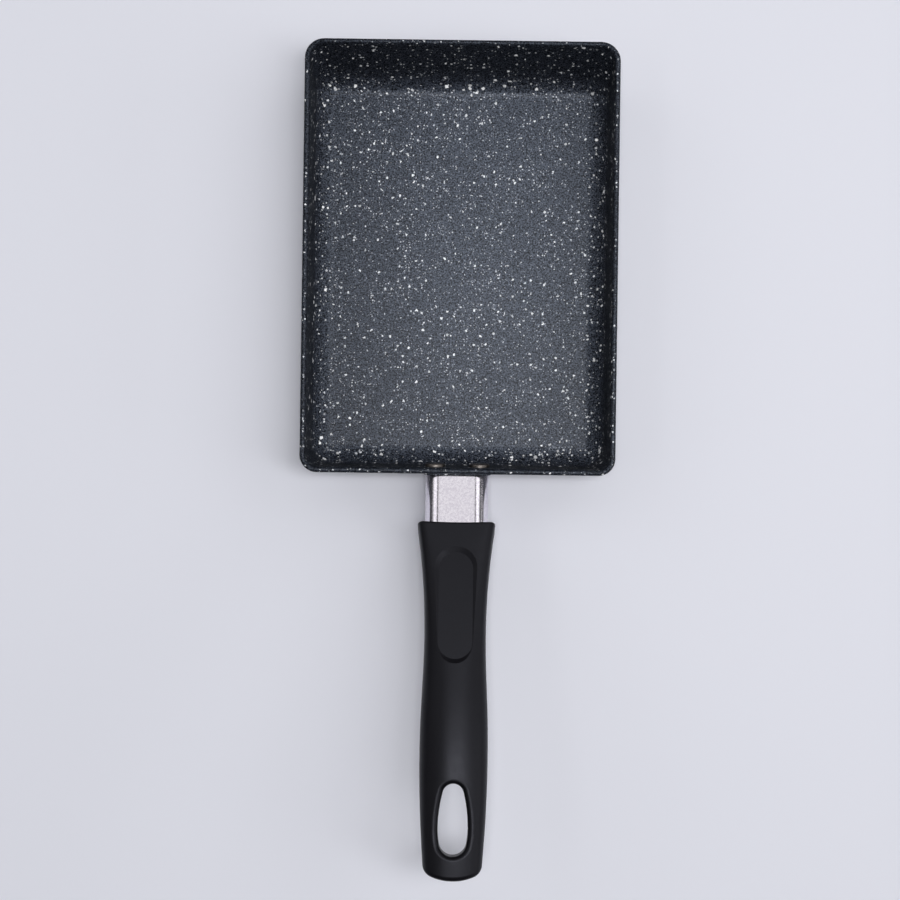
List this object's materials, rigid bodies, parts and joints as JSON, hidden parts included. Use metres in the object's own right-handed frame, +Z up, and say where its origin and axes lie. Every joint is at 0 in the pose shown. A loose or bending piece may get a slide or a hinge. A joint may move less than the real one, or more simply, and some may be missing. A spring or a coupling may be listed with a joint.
{
  "type": "tamagoyaki pan",
  "caption": "Rectangular non-stick omelette pan with a sloped far wall, a metal flame guard and a long moulded handle with a thumb rest and an egg-shaped hanging hole.",
  "frame": {"origin": "centre of the machined face that the pan rests on", "axes": "+Z up, +Y from the handle towards the sloped far wall, +X to the right across the pan seen from above with the handle towards the viewer"},
  "size_m": [0.1298, 0.3404, 0.0635],
  "materials": {
    "non_stick_body": "matte",
    "rivet_metal": "satin",
    "bracket_steel": "satin",
    "guard_steel": "satin",
    "handle_moulding": "matte",
    "fastener_steel": "satin"
  },
  "bodies": {
    "root": {"pan_body": "non_stick_body", "rivet_left": "rivet_metal", "rivet_right": "rivet_metal", "handle_bracket": "bracket_steel", "bracket_nut": "fastener_steel", "flame_guard": "guard_steel", "handle": "handle_moulding", "handle_screw": "fastener_steel", "flat_washer": "fastener_steel", "spring_washer": "fastener_steel"}
  },
  "joints": []
}
